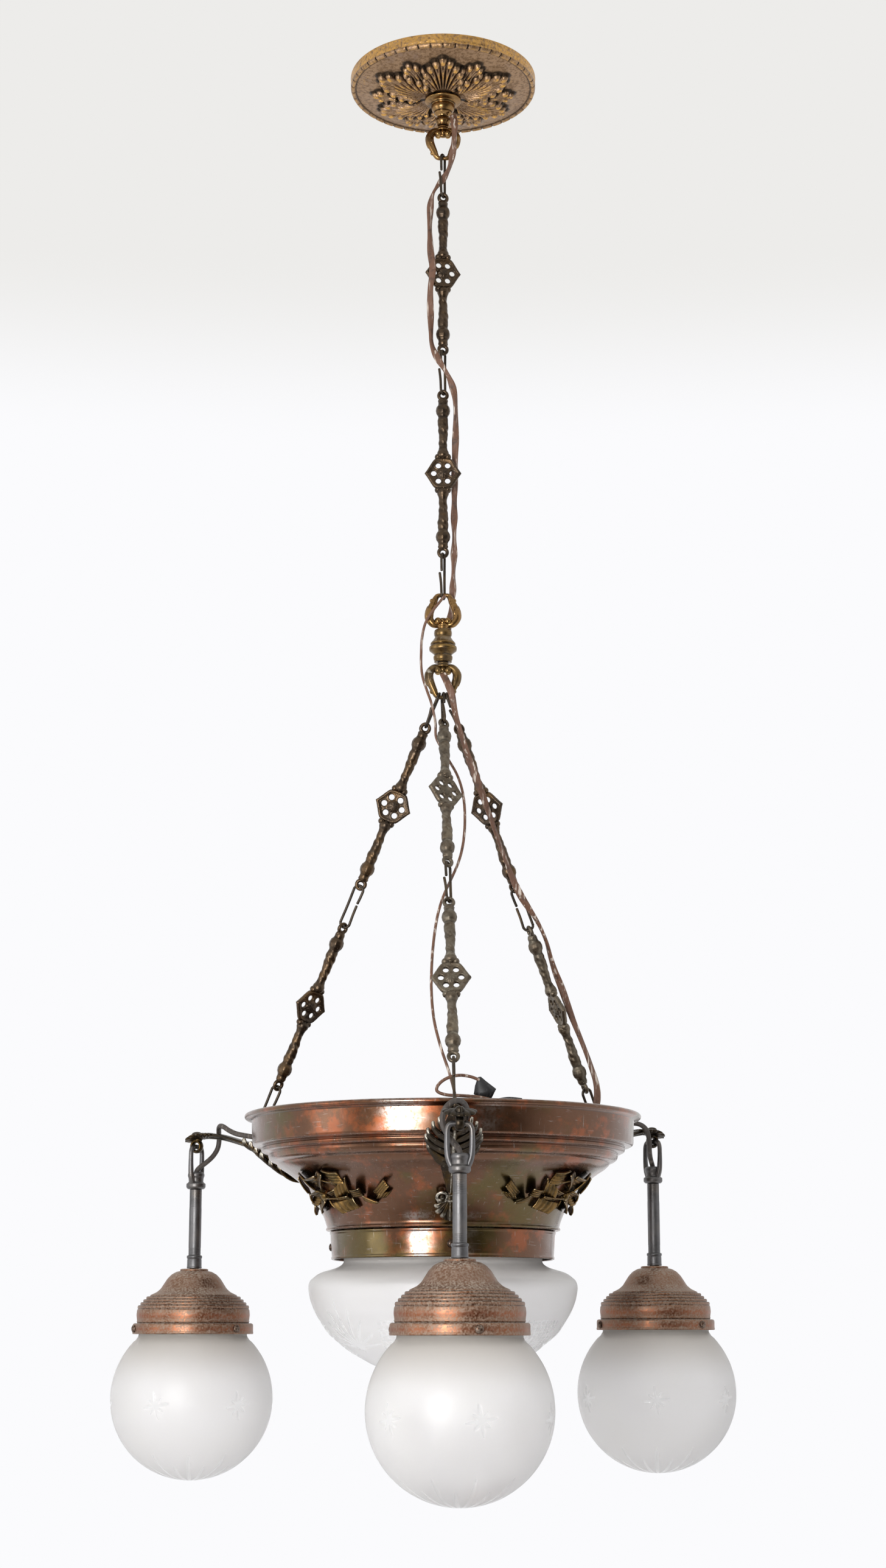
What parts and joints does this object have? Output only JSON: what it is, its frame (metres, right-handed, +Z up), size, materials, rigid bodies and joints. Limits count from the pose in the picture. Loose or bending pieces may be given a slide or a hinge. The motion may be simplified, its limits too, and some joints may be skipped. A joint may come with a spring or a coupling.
{
  "type": "chandelier",
  "caption": "Ceiling chandelier on cast chain links, with a spun copper body, a frosted glass bowl and glass globes on leaf-cast arms.",
  "frame": {"origin": "centre of the ceiling bar's top face, which lies on the ceiling", "axes": "+Z up through the ceiling, -Y towards the viewer and the front arm, +X to the viewer's right"},
  "size_m": [0.5459, 0.5246, 1.2621],
  "materials": {
    "canopy_brass": "antique brass, brown in the recesses and worn bright on the high spots",
    "gold_brass": "old gold brass with grey-white dust",
    "bronze": "dark brown bronze patina, dusty, gold on worn edges",
    "copper": "polished copper gone brown, with orange and olive patches",
    "dark_bronze": "dark grey-brown patina, worn to gold on ribs and tips",
    "ribbon_bronze": "gold-brown cast bronze with dark edges",
    "frosted_glass": "acid-frosted white glass with bright wheel cuts",
    "steel": "plain zinc-plated steel, dull",
    "brown_flex": "brown insulation, chalky grey-white where rubbed",
    "dark_flex": "dark brown insulation, slightly shiny"
  },
  "bodies": {
    "canopy": {"ceiling_bar": "steel", "canopy_plate": "canopy_brass", "canopy_spindle": "gold_brass", "canopy_loop": "gold_brass"},
    "chain_upper": {"hook_upper": "bronze", "link_upper": "bronze", "flex_upper": "brown_flex"},
    "chain_middle": {"hook_middle": "bronze", "link_lower": "bronze", "flex_middle": "brown_flex"},
    "suspended": {"hook_lower": "bronze", "hub_top_loop": "gold_brass", "hub_column": "gold_brass", "hub_bottom_loop": "gold_brass", "chain_front_hook_top": "bronze", "chain_front_link_upper": "bronze", "chain_front_hook_middle": "bronze", "chain_front_link_lower": "bronze", "chain_front_hook_bottom": "bronze", "chain_left_hook_top": "bronze", "chain_left_link_upper": "bronze", "chain_left_hook_middle": "bronze", "chain_left_link_lower": "bronze", "chain_left_hook_bottom": "bronze", "chain_right_hook_top": "bronze", "chain_right_link_upper": "bronze", "chain_right_hook_middle": "bronze", "chain_right_link_lower": "bronze", "chain_right_hook_bottom": "bronze", "body_shell": "copper", "gallery_ring": "copper", "glass_bowl": "frosted_glass", "bowl_lampholder": "steel", "ribbon_bow_left": "ribbon_bronze", "ribbon_bow_right": "ribbon_bronze", "ribbon_bow_rear": "ribbon_bronze", "arm_front": "dark_bronze", "arm_left": "dark_bronze", "arm_right": "dark_bronze", "flex_lower": "brown_flex", "flex_chain": "brown_flex", "strand": "brown_flex"},
    "pendant_front": {"yoke_front": "dark_bronze", "tube_front": "dark_bronze", "fitter_front": "copper", "lampholder_front": "gold_brass", "globe_front": "frosted_glass", "arm_flex_front": "dark_flex"},
    "pendant_left": {"yoke_left": "dark_bronze", "tube_left": "dark_bronze", "fitter_left": "copper", "lampholder_left": "gold_brass", "globe_left": "frosted_glass", "arm_flex_left": "dark_flex"},
    "pendant_right": {"yoke_right": "dark_bronze", "tube_right": "dark_bronze", "fitter_right": "copper", "lampholder_right": "gold_brass", "globe_right": "frosted_glass", "arm_flex_right": "dark_flex"}
  },
  "joints": [
    {"name": "canopy_swing", "type": "hinge", "parent": "canopy", "child": "chain_upper", "pos_m": [0, 0, -0.0795], "axis": [1, 0, 0], "range_deg": [-20, 20], "deforming": ["flex_upper"]},
    {"name": "chain_swing", "type": "hinge", "parent": "chain_upper", "child": "chain_middle", "pos_m": [0, 0, -0.2682], "axis": [0, 1, 0], "range_deg": [-20, 20], "deforming": ["flex_middle"]},
    {"name": "hub_swing", "type": "hinge", "parent": "chain_middle", "child": "suspended", "pos_m": [0, 0, -0.4632], "axis": [1, 0, 0], "range_deg": [-20, 20], "deforming": ["flex_lower"]},
    {"name": "pendant_front_swing", "type": "hinge", "parent": "suspended", "child": "pendant_front", "pos_m": [0.01252, -0.23897, -0.9833], "axis": [0.9986, 0.0523, 0], "range_deg": [-20, 20], "deforming": ["arm_flex_front"]},
    {"name": "pendant_left_swing", "type": "hinge", "parent": "suspended", "child": "pendant_left", "pos_m": [-0.21775, 0.09924, -0.9763], "axis": [-0.4147, -0.91, 0], "range_deg": [-20, 20], "deforming": ["arm_flex_left"]},
    {"name": "pendant_right_swing", "type": "hinge", "parent": "suspended", "child": "pendant_right", "pos_m": [0.18909, 0.14667, -0.96842], "axis": [-0.6129, 0.7902, 0], "range_deg": [-20, 20], "deforming": ["arm_flex_right"]}
  ]
}
